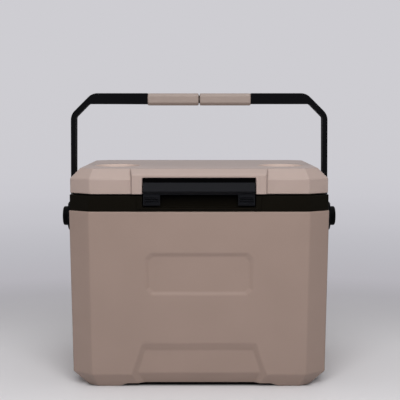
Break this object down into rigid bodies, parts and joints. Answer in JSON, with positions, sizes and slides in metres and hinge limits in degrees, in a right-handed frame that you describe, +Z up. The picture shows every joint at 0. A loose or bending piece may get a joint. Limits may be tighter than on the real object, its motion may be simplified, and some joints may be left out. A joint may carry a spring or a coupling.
{
  "type": "cooler chest",
  "caption": "Hard-sided insulated cooler chest with a hinged lid, a front latch, moulded cup holders and a swing-over carry handle.",
  "frame": {"origin": "on the floor under the middle of the closed chest, from latch front to hinge back", "axes": "+Z up, -Y out of the front with the latch, +X to the right seen from the front"},
  "size_m": [0.428, 0.279, 0.4326],
  "materials": {
    "tan_plastic": "satin",
    "black_plastic": "satin",
    "white_liner": "satin",
    "foam_fill": "matte",
    "steel": "satin",
    "gasket_rubber": "matte"
  },
  "bodies": {
    "chest": {"body_shell": "tan_plastic", "body_foam": "foam_fill", "body_liner": "white_liner", "rim_collar": "black_plastic", "hinge_base_leaf_left": "black_plastic", "hinge_base_leaf_right": "black_plastic", "hinge_pin_left": "steel", "hinge_pin_right": "steel", "hinge_base_screws": "steel"},
    "lid": {"lid_shell": "tan_plastic", "lid_foam": "foam_fill", "lid_liner": "white_liner", "lid_gasket": "gasket_rubber", "hinge_lid_leaf_left": "black_plastic", "hinge_lid_leaf_right": "black_plastic", "hinge_lid_screws": "steel", "latch_bed": "black_plastic", "latch_pin": "steel"},
    "latch": {"latch_lever": "black_plastic"},
    "hubs": {"pivot_boss_left": "black_plastic", "pivot_boss_right": "black_plastic", "pivot_washer_left": "black_plastic", "pivot_washer_right": "black_plastic", "pivot_cap_left": "black_plastic", "pivot_cap_right": "black_plastic", "pivot_screws": "steel"},
    "handle": {"handle_bail": "black_plastic", "grip_left": "tan_plastic", "grip_right": "tan_plastic"}
  },
  "joints": [
    {"name": "lid_hinge", "type": "hinge", "parent": "chest", "child": "lid", "pos_m": [0, 0.1355, 0.2852], "axis": [-1, 0, 0], "range_deg": [0, 92]},
    {"name": "latch_hinge", "type": "hinge", "parent": "lid", "child": "latch", "pos_m": [0, -0.128, 0.29665], "axis": [-1, 0, 0], "range_deg": [0, 70]},
    {"name": "bail_push_back", "type": "hinge", "parent": "chest", "child": "hubs", "pos_m": [0, 0, 0.2405], "axis": [-1, 0, 0], "range_deg": [0, 124.2]},
    {"name": "bail_swing", "type": "hinge", "parent": "hubs", "child": "handle", "pos_m": [0, 0, 0.2405], "axis": [1, 0, 0], "range_deg": [0, 122]}
  ],
  "couplings": [
    {"joint": "bail_push_back", "follows": "lid_hinge", "ratio": 1.35}
  ]
}
